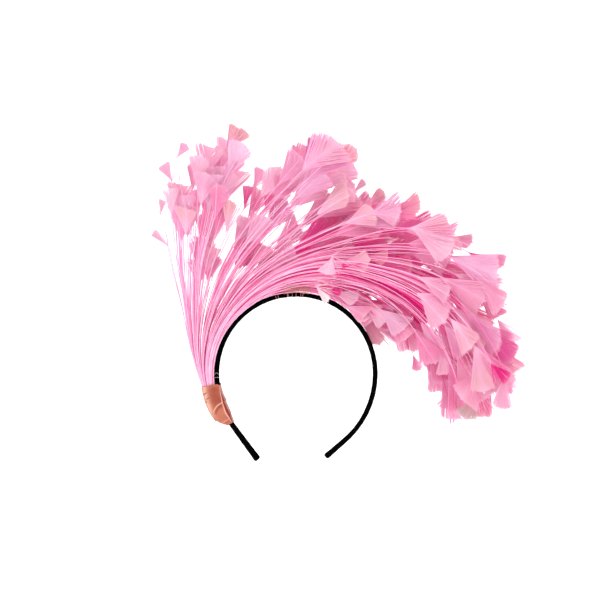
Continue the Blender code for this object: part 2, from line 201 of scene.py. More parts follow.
# Vanes that show best: x and z of the apex and of the middle of the cut end, and the width of the
# cut end, all in mm. Then how far to the front (-1) or back (1), the tone (0 pale, 1 full, 2 deep,
# below 0 white) and the warmth of the cut end (1 peach, 2 drab, below 0 mauve).
shownVanes = [
    (-105, 121, -96, 134, 13, 0.3, 0.2, 0), (-107, 99, -115, 114, 14, -0.2, 0.25, 0),
    (-89, 92, -87, 116, 17, -0.4, 0.5, 0.2), (-102, 79, -97, 96, 11, -0.6, 0.5, 0.2),
    (-70, 112, -58, 130, 12, 0, 0.2, 0.5), (-60, 127, -43, 145, 15, 0.1, 0.35, 1),
    (-62, 129, -54, 150, 12, 0.2, 0.15, 1), (-72, 105, -66, 131, 13, 0.4, 0.25, 0.3),
    (-120, 72, -118, 86, 9, 0.7, 0.1, 0.1), (-114, 44, -128, 57, 8, 0.8, 0.05, 0.1),
    (-62, 93, -55, 112, 15, 0.6, 0.2, 0.3), (-38, 96, -30, 113, 18, 0.5, 0.25, 0.1),
    (-69, 66, -67, 96, 16, -0.9, 0.65, 0.1), (-69, 52, -60, 80, 15, -0.75, 0.7, 0.3),
    (-60, 54, -55, 82, 17, -0.8, 0.2, 0.9), (-46, 76, -42, 97, 12, 0.2, 0.85, 0.1),
    (-27, 76, -23, 90, 12, 0.1, 0.8, 0.2), (-19, 82, -12, 104, 18, -0.35, 0.55, 0.2),
    (7, 116, 16, 137, 16, 0.1, 0.75, -0.7), (-8, 110, 2, 132, 16, 0.5, 0.35, 0.1),
    (6, 105, 36, 128, 42, -1, 0.35, 0.15), (26, 106, 52, 124, 24, -0.75, 0.65, 0.75),
    (20, 96, 44, 97, 19, -0.6, 0.2, 0.1), (0, 106, 6, 116, 13, 0.3, 0.95, 0),
    (10, 72, 32, 86, 20, -0.3, 0.4, 0.25), (36, 68, 52, 82, 18, 0.1, 0.8, 0.4),
    (50, 92, 61, 103, 9, 0.6, 0.15, 0.3), (55, 74, 77, 94, 13, 0.35, 0.45, 0.75),
    (63, 69, 86, 65, 20, -1, 0.35, 0.1), (77, 68, 105, 80, 20, -0.7, 0.7, 0.6),
    (98, 62, 132, 70, 14, 0.3, 0.5, 0.1), (94, 56, 128, 33, 30, -1, 0.15, 0.1),
    (122, 52, 155, 48, 16, 0.2, 0.45, 0.2), (149, 39, 180, 28, 21, -0.1, 0.6, 0.15),
    (148, 30, 173, 12, 18, 0.4, 0.6, 0.7), (149, 17, 172, -8, 30, -0.9, 0.45, 0.3),
    (118, 24, 150, 10, 17, 0.1, 0.3, 0.2), (101, 17, 127, 1, 17, -1, 0.35, 0.1),
    (101, 3, 124, -22, 33, -1, 0.3, 0.2), (128, 12, 150, -8, 20, 0.3, 0.75, 0.5),
    (158, 4, 176, -18, 20, 0.1, 0.6, 0.1), (178, -20, 190, -41, 22, 0.25, 0.2, 0),
    (159, -38, 172, -56, 20, -0.2, 0.65, 0), (176, -52, 186, -78, 22, 0.1, 0.3, 0.1),
    (146, -38, 154, -80, 24, -0.95, 0.3, 0.5), (131, -22, 138, -43, 16, -0.3, 0.4, 0.7),
    (122, -46, 127, -66, 21, -0.65, 0.25, 0.3), (106, -34, 117, -50, 16, 0.1, 0.85, 0),
    (96, -25, 108, -38, 13, 0.45, 0.25, 0), (103, -51, 106, -65, 11, 0.2, 0.35, 0),
    (150, -60, 136, -84, 34, -0.85, 0.4, 0.3), (140, -72, 130, -97, 22, -0.1, 0.45, 0.7),
    (153, -79, 139, -101, 26, -0.75, 0.3, 2), (160, -54, 175, -68, 13, -1, 2, 0),
    (86, 8, 112, -12, 20, -0.35, 2, 0), (92, -4, 114, -24, 16, 0.2, 1.5, 0),
    (-4, 84, 26, 103, 14, 0.15, 1.4, 0), (166, -72, 156, -102, 24, -0.25, 0.8, 0.3),
    (172, -60, 168, -92, 20, -0.9, 0.35, 0.1), (186, -60, 186, -85, 12, 0.3, 0.65, 0),
    (30, 34, 24, 17, 20, -1, 0.15, 0.1), (28, 6, 39, 3, 7, -1, 1.6, 0),
    (48, 27, 37, 26, 5, -1, 1.9, 0), (41, 29, 63, 31, 24, -0.95, 0.3, 0.6),
    (62, 33, 78, 32, 18, -0.5, 0.6, 0.7), (54, -13, 72, -43, 18, 0.2, 0.5, 0.6),
    (42, 2, 66, -14, 12, -0.6, 0.05, 0.2), (16, 9, 27, -5, 10, -0.98, -0.8, 0),
    (47, -4, 60, -18, 10, 0.5, 0.25, 0.2), (62, -20, 92, -38, 9, 0.6, 0.15, 0.1),
]


def smoothstep(share):
    share = min(max(share, 0), 1)
    return share * share * (3 - 2 * share)


def readTable(rows, at):
    at = min(max(at, rows[0][0]), rows[-1][0])
    for low, high in zip(rows, rows[1:]):
        if at <= high[0]:
            share = (at - low[0]) / (high[0] - low[0])
            return [a + (b - a) * share for a, b in zip(low[1:], high[1:])]
    return list(rows[-1][1:])


def quarterCrown():
    return band["crownRadius"] * pi / 2


def sideSizes(side):
    radius, sweep, end = band["tieSide"] if side < 0 else band["freeSide"]
    return radius, radians(sweep), end


def sideLength(side):
    radius, sweep, end = sideSizes(side)
    return quarterCrown() + radius * sweep + end


def crownCentre():
    return Vector((0, 0, band["thickness"] / 2 - band["crownRadius"]))


def bandFrame(distance, side):  # centre, direction away from the crown, outward normal
    radius, sweep, end = sideSizes(side)
    past = distance - quarterCrown()
    if past <= 0:
        turn = distance / band["crownRadius"]
        outward = Vector((sin(turn), 0, cos(turn)))
        along = Vector((cos(turn), 0, -sin(turn)))
        centre = crownCentre() + outward * band["crownRadius"]
    else:
        turn = min(past / radius, sweep)
        outward = Vector((cos(turn), 0, -sin(turn)))
        along = Vector((-sin(turn), 0, -cos(turn)))
        centre = crownCentre() + Vector((band["crownRadius"] - radius, 0, 0)) + outward * radius
        centre = centre + along * max(past - radius * sweep, 0)
    mirror = Vector((side, 1, 1))
    return centre * mirror, along * mirror, outward * mirror


def superellipse(angle, reach, halfDepth):
    power = 2 / band["squareness"]
    cosine, sine = cos(angle), sin(angle)
    return (
        copysign(abs(cosine) ** power, cosine) * reach,
        copysign(abs(sine) ** power, sine) * halfDepth,
    )


def addObject(name, data):
    item = bpy.data.objects.new(name, data)
    bpy.context.scene.collection.objects.link(item)
    return item


def finishShape(shape, name):
    mesh = bpy.data.meshes.new(name)
    shape.to_mesh(mesh)
    shape.free()
    mesh.shade_smooth()
    return mesh


# Node trees

def addNode(tree, kind, inputs=None, **settings):  # each input is a value or the socket that feeds it
    node = tree.nodes.new(kind)
    for label, value in settings.items():
        setattr(node, label, value)
    for label, value in (inputs or {}).items():
        if isinstance(value, bpy.types.NodeSocket):
            tree.links.new(value, node.inputs[label])
        else:
            node.inputs[label].default_value = value
    return node


def mathNode(tree, operation, first, second=0.0, clamp=False):
    node = addNode(tree, "ShaderNodeMath", {0: first, 1: second}, operation=operation, use_clamp=clamp)
    return node.outputs["Value"]


def newGeometryTree(name, inputs):
    tree = bpy.data.node_groups.new(name, "GeometryNodeTree")
    tree.interface.new_socket("Geometry", in_out="INPUT", socket_type="NodeSocketGeometry")
    for label, kind in inputs.items():
        tree.interface.new_socket(label, in_out="INPUT", socket_type="NodeSocket" + kind)
    tree.interface.new_socket("Geometry", in_out="OUTPUT", socket_type="NodeSocketGeometry")
    return tree, tree.nodes.new("NodeGroupInput")


def finishTree(tree, start, geometry):  # every tree ends in real geometry with its material
    real = addNode(tree, "GeometryNodeRealizeInstances", {"Geometry": geometry})
    inputs = {"Geometry": real.outputs["Geometry"], "Material": start.outputs["Material"]}
    paint = addNode(tree, "GeometryNodeSetMaterial", inputs)
    addNode(tree, "NodeGroupOutput", {"Geometry": paint.outputs["Geometry"]})
    return tree


def namedValue(tree, name, kind="FLOAT"):
    node = addNode(tree, "GeometryNodeInputNamedAttribute", {"Name": name}, data_type=kind)
    return node.outputs["Attribute"]


def bakeTree(source, tree, values, name):  # result of the tree on source as a plain mesh object
    change = source.modifiers.new("build", "NODES")
    change.node_group = tree
    for socket in tree.interface.items_tree:
        if socket.item_type == "SOCKET" and socket.in_out == "INPUT" and socket.name in values:
            change[socket.identifier] = values[socket.name]
    bpy.context.view_layer.update()
    seen = source.evaluated_get(bpy.context.evaluated_depsgraph_get())
    mesh = bpy.data.meshes.new_from_object(seen)
    mesh.name = name
    source.modifiers.remove(change)
    bpy.data.objects.remove(source)
    return addObject(name, mesh)


def buildShaftTree():  # polylines with a girth become tapered round shafts
    tree, start = newGeometryTree("quillShafts", {"Sides": "Int", "Material": "Material"})
    path = addNode(tree, "GeometryNodeMeshToCurve", {"Mesh": start.outputs["Geometry"]})
    inputs = {"Radius": 1, "Resolution": start.outputs["Sides"]}
    ring = addNode(tree, "GeometryNodeCurvePrimitiveCircle", inputs)
    tube = addNode(tree, "GeometryNodeCurveToMesh", {
        "Curve": path.outputs["Curve"],
        "Profile Curve": ring.outputs["Curve"],
        "Scale": namedValue(tree, "girth"),
        "Fill Caps": True,
    })
    return finishTree(tree, start, tube.outputs["Mesh"])


def buildVaneTree():  # each point of a rib carries a barb on either side
    tree, start = newGeometryTree("vaneBarbs", {
        "Barb": "Object", "Ragged Ends": "Float", "Loose Angle": "Float",
        "Seed": "Int", "Material": "Material",
    })

    def calculate(operation, first, second=0.0):
        return mathNode(tree, operation, first, second)

    def vectorMath(operation, first, other):
        place = "Scale" if operation == "SCALE" else 1
        node = addNode(tree, "ShaderNodeVectorMath", {0: first, place: other}, operation=operation)
        return node.outputs["Vector"]

    def between(angle, first, second, side=1):  # unit vector at an angle from the first to the second
        share = calculate("MULTIPLY", calculate("COSINE", angle), side)
        second = vectorMath("SCALE", second, calculate("SINE", angle))
        return vectorMath("ADD", vectorMath("SCALE", first, share), second)

    def chance(low, high, offset):
        seed = calculate("ADD", start.outputs["Seed"], offset)
        inputs = {2: low, 3: high, "Seed": seed}  # 2 and 3 are the least and most of a float
        return addNode(tree, "FunctionNodeRandomValue", inputs, data_type="FLOAT").outputs[1]

    barb = addNode(tree, "GeometryNodeObjectInfo", {"Object": start.outputs["Barb"]})
    along = namedValue(tree, "along", "FLOAT_VECTOR")
    facing = namedValue(tree, "facing", "FLOAT_VECTOR")
    sideways = vectorMath("CROSS_PRODUCT", facing, along)
    joined = tree.nodes.new("GeometryNodeJoinGeometry")
    loose, ragged = start.outputs["Loose Angle"], start.outputs["Ragged Ends"]
    for side, reachName in ((-1, "reachLeft"), (1, "reachRight")):
        stray = chance(calculate("MULTIPLY", loose, -1), loose, 10 + side)
        angle = calculate("ADD", namedValue(tree, "opening"), stray)
        stray = chance(-tips["droopSpread"], tips["droopSpread"], 20 + side)
        droop = calculate("ADD", namedValue(tree, "droop"), stray)
        heading = between(angle, along, between(droop, sideways, facing, side))
        axes = {"Primary Axis": heading, "Secondary Axis": facing}
        turn = addNode(tree, "FunctionNodeAxesToRotation", axes, primary_axis="X", secondary_axis="Z")
        factor = chance(calculate("SUBTRACT", 1, ragged), calculate("ADD", 1, ragged), 30 + side)
        reach = calculate("MULTIPLY", namedValue(tree, reachName), factor)
        size = addNode(tree, "ShaderNodeCombineXYZ", {"X": reach, "Y": 1, "Z": 1})
        planted = addNode(tree, "GeometryNodeInstanceOnPoints", {
            "Points": start.outputs["Geometry"],
            "Instance": barb.outputs["Geometry"],
            "Rotation": turn.outputs["Rotation"],
            "Scale": size.outputs["Vector"],
        })
        tree.links.new(planted.outputs["Instances"], joined.inputs["Geometry"])
    return finishTree(tree, start, joined.outputs["Geometry"])


# Materials

def newMaterial(name, **settings):
    material = bpy.data.materials.new(name)
    material.use_nodes = True
    shader = material.node_tree.nodes["Principled BSDF"]
    for label, value in settings.items():
        shader.inputs[label].default_value = value
    return material, material.node_tree, shader


def attributeValue(tree, name):
    return addNode(tree, "ShaderNodeAttribute", attribute_name=name).outputs["Fac"]


def mixColours(tree, share, first, second):
    inputs = {0: share}
    for place, colour in ((6, first), (7, second)):
        inputs[place] = (*colour, 1) if isinstance(colour, tuple) else colour
    return addNode(tree, "ShaderNodeMix", inputs, data_type="RGBA").outputs[2]


def buildDyeGroup():  # uneven dye: a slow cloud and a fine fleck, on the object's coordinates
    tree = bpy.data.node_groups.new("unevenDye", "ShaderNodeTree")
    for label in ("Cloud", "Fleck"):
        tree.interface.new_socket(label + " Scale", in_out="INPUT", socket_type="NodeSocketFloat")
        tree.interface.new_socket(label, in_out="OUTPUT", socket_type="NodeSocketFloat")
    start = tree.nodes.new("NodeGroupInput")
    end = tree.nodes.new("NodeGroupOutput")
    place = tree.nodes.new("ShaderNodeTexCoord")
    for label in ("Cloud", "Fleck"):
        scale = start.outputs[label + " Scale"]
        inputs = {"Vector": place.outputs["Object"], "Scale": scale, "Detail": 3}
        noise = addNode(tree, "ShaderNodeTexNoise", inputs)
        inputs = {"Value": noise.outputs["Fac"], "From Min": 0.3, "From Max": 0.7}
        spread = addNode(tree, "ShaderNodeMapRange", inputs)
        tree.links.new(spread.outputs["Result"], end.inputs[label])
    return tree


def addDye(tree, dye, cloudScale, fleckScale):
    scales = {"Cloud Scale": cloudScale, "Fleck Scale": fleckScale}
    node = addNode(tree, "ShaderNodeGroup", scales, node_tree=dye)
    return node.outputs["Cloud"], node.outputs["Fleck"]


pinks = {
    "white": (0.95, 0.90, 0.90),
    "pale": (0.91, 0.65, 0.80),
    "full": (0.82, 0.06, 0.30),
    "deep": (0.74, 0.012, 0.19),
    "peach": (0.86, 0.43, 0.42),
    "mauve": (0.58, 0.14, 0.40),
    "drab": (0.40, 0.34, 0.28),
    "quillPale": (1.00, 0.68, 0.85),
    "quillFull": (0.92, 0.03, 0.34),
}

translucentWithPaintedGlow = {  # horn and barbs pass light, red the furthest; the emission is a painted glow that lifts their shade to a deep pink, in place of light passed on from the vanes and quills behind them
    "Subsurface Weight": 0.3,
    "Subsurface Radius": (1.0, 0.35, 0.6),
    "Subsurface Scale": 0.0012,
    "Emission Color": (0.80, 0.04, 0.32, 1),
}

vaneLook = {
    "Roughness": 0.65,
    "Specular IOR Level": 0.25,
    "Sheen Weight": 0.1,
    "Sheen Roughness": 0.5,
    # painted glow of the vanes
    "Emission Strength": 0.05,
}
# the quills' emission is a painted glow, a little stronger than the vanes'
quillLook = {"Roughness": 0.5, "Specular IOR Level": 0.3, "Emission Strength": 0.07}


def makeVaneMaterial(dye):
    material, tree, shader = newMaterial("pinkVane", **translucentWithPaintedGlow, **vaneLook)
    cloud, fleck = addDye(tree, dye, 70, 1500)
    tone = attributeValue(tree, "tone")
    warm = attributeValue(tree, "warm")
    rib = attributeValue(tree, "ribShare")
    reach = attributeValue(tree, "reachShare")
    rest = mathNode(tree, "MULTIPLY", mathNode(tree, "SUBTRACT", 1, rib), reach)
    toEnd = mathNode(tree, "ADD", rib, rest)  # 0 where the vane starts, 1 at its cut end
    late = mathNode(tree, "POWER", toEnd, 1.5)
    rim = mathNode(tree, "POWER", toEnd, 14)
    colour = mixColours(tree, tone, pinks["pale"], pinks["full"])
    # Above 1 the tone goes on to a deep pink and the warmth to a drab end. Below 0 the tone goes to
    # white, as in a vane that hardly took the dye, and the warmth to mauve.
    for tint, operation, value, amount, fade in (
        ("full", "MULTIPLY", cloud, 0.24, None),
        ("deep", "SUBTRACT", tone, 1, None),
        ("peach", "MULTIPLY", warm, 1, late),
        ("drab", "SUBTRACT", warm, 1, late),
        ("mauve", "MULTIPLY", warm, -1, None),
        ("pale", "MULTIPLY", rim, 0.45, None),
        ("deep", "MULTIPLY", fleck, 0.08, None),
        ("white", "MULTIPLY", tone, -1, None),
    ):
        share = mathNode(tree, operation, value, amount, True)
        if fade:
            share = mathNode(tree, "MULTIPLY", fade, share)
        colour = mixColours(tree, share, colour, pinks[tint])
    tree.links.new(colour, shader.inputs["Base Color"])
    return material


def makeQuillMaterial(dye):
    material, tree, shader = newMaterial("pinkQuill", **translucentWithPaintedGlow, **quillLook)
    cloud, fleck = addDye(tree, dye, 120, 2200)
    colour = mixColours(tree, attributeValue(tree, "tone"), pinks["quillPale"], pinks["quillFull"])
    colour = mixColours(tree, mathNode(tree, "MULTIPLY", cloud, 0.25), colour, pinks["full"])
    colour = mixColours(tree, mathNode(tree, "MULTIPLY", fleck, 0.12), colour, pinks["deep"])
    tree.links.new(colour, shader.inputs["Base Color"])
    return material


# Plume

def curveThrough(knots, place):
    spot = place * (len(knots) - 1)
    low = min(int(spot), len(knots) - 2)
    share = spot - low
    before = knots[low - 1] if low else Vector((2 * knots[0][0] - knots[1][0], knots[0][1]))
    after = knots[low + 2] if low + 2 < len(knots) else 2 * knots[-1] - knots[-2]
    first, second = knots[low], knots[low + 1]
    slope = (second - before) / 2
    nextSlope = (after - first) / 2
    rise = second - first
    return (
        first
        + slope * share
        + (3 * rise - 2 * slope - nextSlope) * share**2
        + (slope + nextSlope - 2 * rise) * share**3
    )


def buttReach(across, fill=plume["buttFill"]):
    start = band["thickness"] / 2 + wrap["gap"]
    reach = (wrap["outReach"] - wrap["gap"] - wrap["wall"]) * wrap["fullness"] * fill
    return start + (reach - start) * max(1 - across, 0.02)


def wrapPlace(share):
    return quarterCrown() + wrap["drop"] + wrap["length"] * share


def quillLine(across):
    row = readTable(quillRows, across)
    reach = buttReach(across)
    centre, along, outward = bandFrame(wrapPlace(0), -1)
    begin = centre + outward * buttReach(across, plume["mouthFill"]) - crownCentre()
    knots = [Vector((atan2(begin.z, -begin.x), begin.length))]
    for bearing, height in zip(row[0:8:2], row[1:8:2]):
        radius = band["crownRadius"] + reach + height * plume["height"]
        knots.append(Vector((radians(bearing), radius)))
    points, runs = [], [0]
    for step in range(plume["lineSteps"] + 1):
        turn, radius = curveThrough(knots, step / plume["lineSteps"])
        points.append(crownCentre() + Vector((-cos(turn), 0, sin(turn))) * radius)
        if step:
            runs.append(runs[-1] + (points[-1] - points[-2]).length)
    return points, runs, row[-1]


def alongLine(line, run):
    points, runs, tip = line
    place = min(max(bisect.bisect_left(runs, run), 1), len(runs) - 1)
    share = (run - runs[place - 1]) / (runs[place] - runs[place - 1])
    direction = (points[place] - points[place - 1]).normalized()
    return points[place - 1].lerp(points[place], share), direction


def besideLine(direction):
    return Vector((direction.z, 0, -direction.x))


def fanDepth(run):
    return plume["depthSlope"] * run * run / (run + plume["depthEase"])


def buttDepth(across):
    reach = min(buttReach(across) / (wrap["outReach"] - wrap["wall"]), 0.97)
    power = band["squareness"]
    return (wrap["depthReach"] - wrap["wall"] - wrap["gap"]) * (1 - reach**power) ** (1 / power)


def quillThrough(lines, spot):  # the quill line that passes nearest to a spot, and where
    best = None
    for across, line in lines:
        for point, run in zip(line[0], line[1]):
            distance = (point - spot).length_squared
            if run > plume["clearRun"] and (best is None or distance < best[0]):
                best = (distance, across, run, point)
    return best[1:]


def makeFeather(across, run, layer, miss, heading, vane, chance):
    # Shaft points, and rib points with what their barbs need.
    line = quillLine(across)
    depthAtButt = buttDepth(across) * plume["buttDepth"] * layer
    low, span = plume["tuck"]
    tuck = smoothstep((across - low) / span)
    phase = chance.uniform(0, tau)
    wobble = plume["wobble"] * chance.uniform(0.3, 1)
    length, width, slant, notch, tone, warm, twist, curl = vane

    def place(at):
        point, direction = alongLine(line, at)
        share = at / run
        free = smoothstep(at / plume["ease"])
        sway = sin(phase + at * plume["wobbleTurn"]) * wobble * free * (1 - 0.5 * share)
        point = point + besideLine(direction) * sway + miss * share * share
        point.y = depthAtButt * (1 - 0.5 * tuck * free) + layer * fanDepth(at) * (1 - 0.6 * tuck)
        return point

    shaft = []
    for share in plume["buttPlaces"]:
        centre, along, outward = bandFrame(wrapPlace(share * plume["buttLength"] / wrap["length"]), -1)
        point = centre + outward * buttReach(across, plume["mouthFill"] - plume["buttTaper"] * share)
        point.y = depthAtButt
        shaft.append(point)
    steps = max(round(run / plume["shaftStep"]), 4)
    shaft += [place(run * step / steps) for step in range(steps + 1)]
    before = (shaft[-1] - shaft[-2]).normalized()
    goal = before
    if heading:
        level = sqrt(1 - before.y * before.y)
        goal = heading.normalized() * level + Vector((0, before.y, 0))
    facing = Matrix.Rotation(twist, 3, goal) @ besideLine(goal).normalized().cross(goal)
    facing = facing.normalized()
    ribs = []
    count = max(round(length / tips["barbSpacing"]), tips["leastBarbs"])
    point = shaft[-1].copy()
    opening = atan2(width / 2, length)
    clump, clumpLeft, lengthen = 0, 0, 1
    for step in range(count):
        share = step / (count - 1)
        direction = before.lerp(goal, smoothstep(share * tips["swing"])).normalized()
        bend = Matrix.Rotation(curl * share, 3, direction.cross(facing).normalized())
        forward = (bend @ direction).normalized()
        if step:
            point = point + forward * (length / (count - 1))
        if clumpLeft <= 0:
            clumpLeft = chance.randint(*tips["clump"])
            clump = chance.uniform(-tips["clumpAngle"], tips["clumpAngle"])
            lengthen = chance.uniform(1 - tips["clumpReach"], 1 + tips["clumpReach"])
        clumpLeft -= 1
        angle = opening + clump + tips["opening"] * share
        normal = (facing - forward * facing.dot(forward)).normalized()
        rounded = 1 - tips["cornerRound"] * (1 - share) ** 3
        reaches = []
        for lean in (notch + slant, notch - slant):
            reach = length * (1 - share) / (cos(angle) - lean * sin(angle)) * rounded
            reaches.append(max(reach * lengthen, length * tips["leastReach"]))
        ribs.append((point.copy(), forward, normal, *reaches, angle, share, tips["droop"], tone, warm))
    return shaft, ribs, layer


def randomVane(chance, length, width, tone, warm, turned=1):
    twist = radians(chance.gauss(0, tips["twist"])) * turned
    curl = radians(chance.gauss(0, tips["curl"])) * turned
    slant = chance.uniform(-tips["slant"], tips["slant"])
    notch = chance.uniform(-tips["notch"], tips["notch"])
    return length, width, slant, notch, tone, warm, twist, curl


def bunchSpan(index):  # lines of a bunch, from the side by the band to the upright side
    count = len(plume["pieces"])
    first = 1 - index / count if index else 1 + plume["lashed"]
    return first, 1 - (index + 1) / count


def besideParting(across, chance):  # the fan parts in places, so that white shows through
    for middle, half in plume["partings"]:
        if abs(across - middle) < half and chance.random() > plume["strayShare"]:
            return middle + copysign(half * chance.uniform(1, 1.6), across - middle)
    return across


def insideOutline(line, run, length, width):
    apex, direction = alongLine(line, run)
    sideways = besideLine(direction) * width / 2
    for offset in (-1, 0, 1):
        corner = apex + direction * length + sideways * offset - crownCentre()
        bearing = degrees(atan2(corner.z, -corner.x)) % 360
        if corner.length * 1000 > readTable(outlineRows, bearing)[0]:
            return False
    return True


def randomFeather(across, layer, inner, deepest, chance):
    across = besideParting(across, chance)
    line = quillLine(across)
    size = line[2] * chance.uniform(*tips["sizes"])
    length, width = tips["length"] * size, tips["width"] * size
    reach = readTable(trimRows, across)[0]
    reach *= chance.uniform(*plume["innerReach" if inner else "outerReach"])
    # Feathers deep inside the plume get a deeper pink and less warmth: painted shade for the light lost
    # among the layers.
    inside = 1 - min(abs(layer), 1)
    byChance, shadeFromDepth = plume["vaneTones"]
    tone = deepest * (chance.uniform(0, byChance) + shadeFromDepth * inside)
    warm = min(max(chance.gauss(*tips["warmth"]), tips["leastWarmth"]), 1)
    warm *= 1 - tips["coolingInShade"] * inside
    vane = randomVane(chance, length, width, tone, warm)
    end, fade = plume["driftEnd"]
    free = plume["drift"] * min(1, (end - across) / fade)
    drift = Vector((chance.gauss(0, free), 0, chance.gauss(0, free)))
    run = line[1][-1] * reach - length
    while run > plume["leastRun"] and not insideOutline(line, run, length, width):
        run -= plume["trimStep"]
    return makeFeather(across, run, layer, drift, None, vane, chance)


def makeStrand(first, last, layer, reach, chance):
    lines = quillLine(first), quillLine(last)
    bow = chance.uniform(-strand["bow"], strand["bow"])
    shaft = []
    for step in range(strand["steps"] + 1):
        share = step / strand["steps"]
        ends = [alongLine(line, line[1][-1] * reach * share)[0] for line in lines]
        point = ends[0].lerp(ends[1], smoothstep(share * (1 + strand["late"]) - strand["late"]))
        run = lines[0][1][-1] * reach * share
        point.y = (buttDepth(first) * strand["depth"] + fanDepth(run)) * layer
        shaft.append(point + Vector((0, 0, bow * sin(pi * share))))
    return shaft


def planFeathers():
    # Feathers and strands of each bunch, from the one along the band to the upright one.
    count = plume["lineCount"]
    lines = [(step / count, quillLine(step / count))
             for step in range(round(count * (1 + plume["lashed"])) + 1)]
    bunches = [[] for name in plume["pieces"]]
    strands = [[] for name in plume["pieces"]]
    chance = random.Random(plume["seed"] + 1)
    for apexX, apexZ, endX, endZ, width, layer, tone, warm in shownVanes:
        apex = Vector((apexX, 0, apexZ)) / 1000
        heading = Vector((endX, 0, endZ)) / 1000 - apex
        across, run, point = quillThrough(lines, apex)
        vane = randomVane(chance, heading.length, width / 1000, tone, warm, tips["handTurned"])
        index = min(max(int((1 - across) * len(bunches)), 0), len(bunches) - 1)
        bunches[index].append(makeFeather(across, run, layer, apex - point, heading, vane, chance))
    chance = random.Random(plume["seed"])
    for index, count in enumerate(plume["fill"]):
        first, last = bunchSpan(index)
        lowest, highest = plume["innerLines"]
        for number in range(count):
            across = first + (last - first) * (number + chance.random()) / count
            inner = chance.random() < plume["inner"] and lowest < across < highest
            spread, front = plume["innerLayers" if inner else "outerLayers"]
            layer = number * plume["layerStep"] % 1 * spread - front
            bunches[index].append(randomFeather(across, layer, inner, plume["deepest"][index], chance))
        for number in range(strand["counts"][index]):
            start = chance.uniform(last, first)
            end = start + chance.uniform(-strand["cross"], strand["cross"])
            end = min(max(end, 0), strand["lowest"])
            layer = chance.choice((-1, 1)) * chance.uniform(*strand["layer"])
            reach = chance.uniform(*strand["reach"])
            strands[index].append(makeStrand(start, end, layer, reach, chance))
    return bunches, strands


def setAttribute(mesh, name, values):
    if isinstance(values[0], Vector):
        layer = mesh.attributes.new(name, "FLOAT_VECTOR", "POINT")
        layer.data.foreach_set("vector", [number for value in values for number in value])
    else:
        layer = mesh.attributes.new(name, "FLOAT", "POINT")
        layer.data.foreach_set("value", values)


def buildShafts(name, feathers, strands, deepest, tree, material):
    points, edges, girths, tones = [], [], [], []

    def addRoute(route, start, end, tone):
        for step, point in enumerate(route):
            share = step / (len(route) - 1)
            if step:
                edges.append((len(points) - 1, len(points)))
            points.append(point)
            girths.append(start + (end - start) * share)
            tones.append(tone)

    chance = random.Random(name)
    shadeFromDepth, byChance = plume["quillTones"]
    for shaft, ribs, layer in feathers:
        route = shaft + [rib[0] for rib in ribs[3::6]]
        # quills inside the plume are a deeper pink: painted shade, with a part from chance
        tone = ((1 - abs(layer)) * shadeFromDepth + chance.random() ** 2 * byChance) * deepest
        addRoute(route, plume["shaftRadius"], plume["tipRadius"], min(tone, 1))
    for shaft in strands:
        addRoute(shaft, strand["radius"] * 1.5, strand["radius"], strand["tone"])
    mesh = bpy.data.meshes.new(name)
    mesh.from_pydata(points, edges, [])
    setAttribute(mesh, "girth", girths)
    setAttribute(mesh, "tone", tones)
    values = {"Sides": plume["shaftSides"], "Material": material}
    quills = bakeTree(addObject(name, mesh), tree, values, name)
    quills.data.shade_smooth()
    return quills


def makeBarb():  # unit barb along X: a flat three-sided strip that tapers to a point
    halfWidth, thickness = tips["barbWidth"] / 2, tips["barbThickness"]
    points = []
    for at, breadth in ((0, 1), (0.88, 0.9)):
        for across, up in ((-halfWidth, 0), (halfWidth, 0), (0, thickness)):
            points.append((at, across * breadth, up * breadth))
    points.append((1, 0, 0))
    mesh = bpy.data.meshes.new("barb")
    mesh.from_pydata(points, [], [
        (0, 1, 4, 3), (3, 4, 6), (1, 2, 5, 4), (4, 5, 6), (2, 0, 3, 5), (5, 3, 6), (0, 2, 1),
    ])
    setAttribute(mesh, "reachShare", [point[0] for point in points])
    return addObject("barb", mesh)


def buildVanes(name, feathers, tree, barb, material, seed):
    labels = ("along", "facing", "reachLeft", "reachRight", "opening", "ribShare", "droop", "tone", "warm")
    points, *columns = zip(*(rib for shaft, ribs, layer in feathers for rib in ribs))
    mesh = bpy.data.meshes.new(name)
    mesh.from_pydata(points, [], [])
    for label, values in zip(labels, columns):
        setAttribute(mesh, label, values)
    return bakeTree(addObject(name, mesh), tree, {
        "Barb": barb,
        "Ragged Ends": tips["raggedEnds"],
        "Loose Angle": tips["looseAngle"],
        "Seed": seed,
        "Material": material,
    }, name)


def buildPlume(dye):
    shaftTree, vaneTree = buildShaftTree(), buildVaneTree()
    quillMaterial, vaneMaterial = makeQuillMaterial(dye), makeVaneMaterial(dye)
    barb = makeBarb()
    bunches, strands = planFeathers()
    for index, feathers in enumerate(bunches):
        label = plume["pieces"][index]
        deepest = plume["quillDepth"][index]
        quills = buildShafts(label + "Quills", feathers, strands[index], deepest, shaftTree, quillMaterial)
        vanes = buildVanes(label + "Vanes", feathers, vaneTree, barb, vaneMaterial, index)
        for piece in (quills, vanes):
            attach(piece, "root")
            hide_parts("bunch_" + label)
            print("built", piece.name, len(feathers), "feathers,", len(piece.data.polygons), "faces")
    bpy.data.objects.remove(barb)


# Headband

satins = {
    "blackSatin": {
        "colour": (0.002, 0.002, 0.002),
        "edge": (0.0005, 0.0005, 0.0005),  # darker dye cloud, and painted shade where one turn goes under the next
        "roughness": 0.5,
        "shine": 0.0,
    },
    "copperSatin": {
        "colour": (0.50, 0.16, 0.10),
        # darker dye cloud, and painted shade in the hollows, creases and under the turns
        "edge": (0.26, 0.030, 0.016),
        "paintedHighlight": (0.88, 0.50, 0.38),  # painted highlight on the folded edges
        "roughness": 0.36,
        "shine": 0.15,
    },
}
weave = {"scale": 9000, "round": 0.02}  # warp threads to the metre, and how they lean round a turn


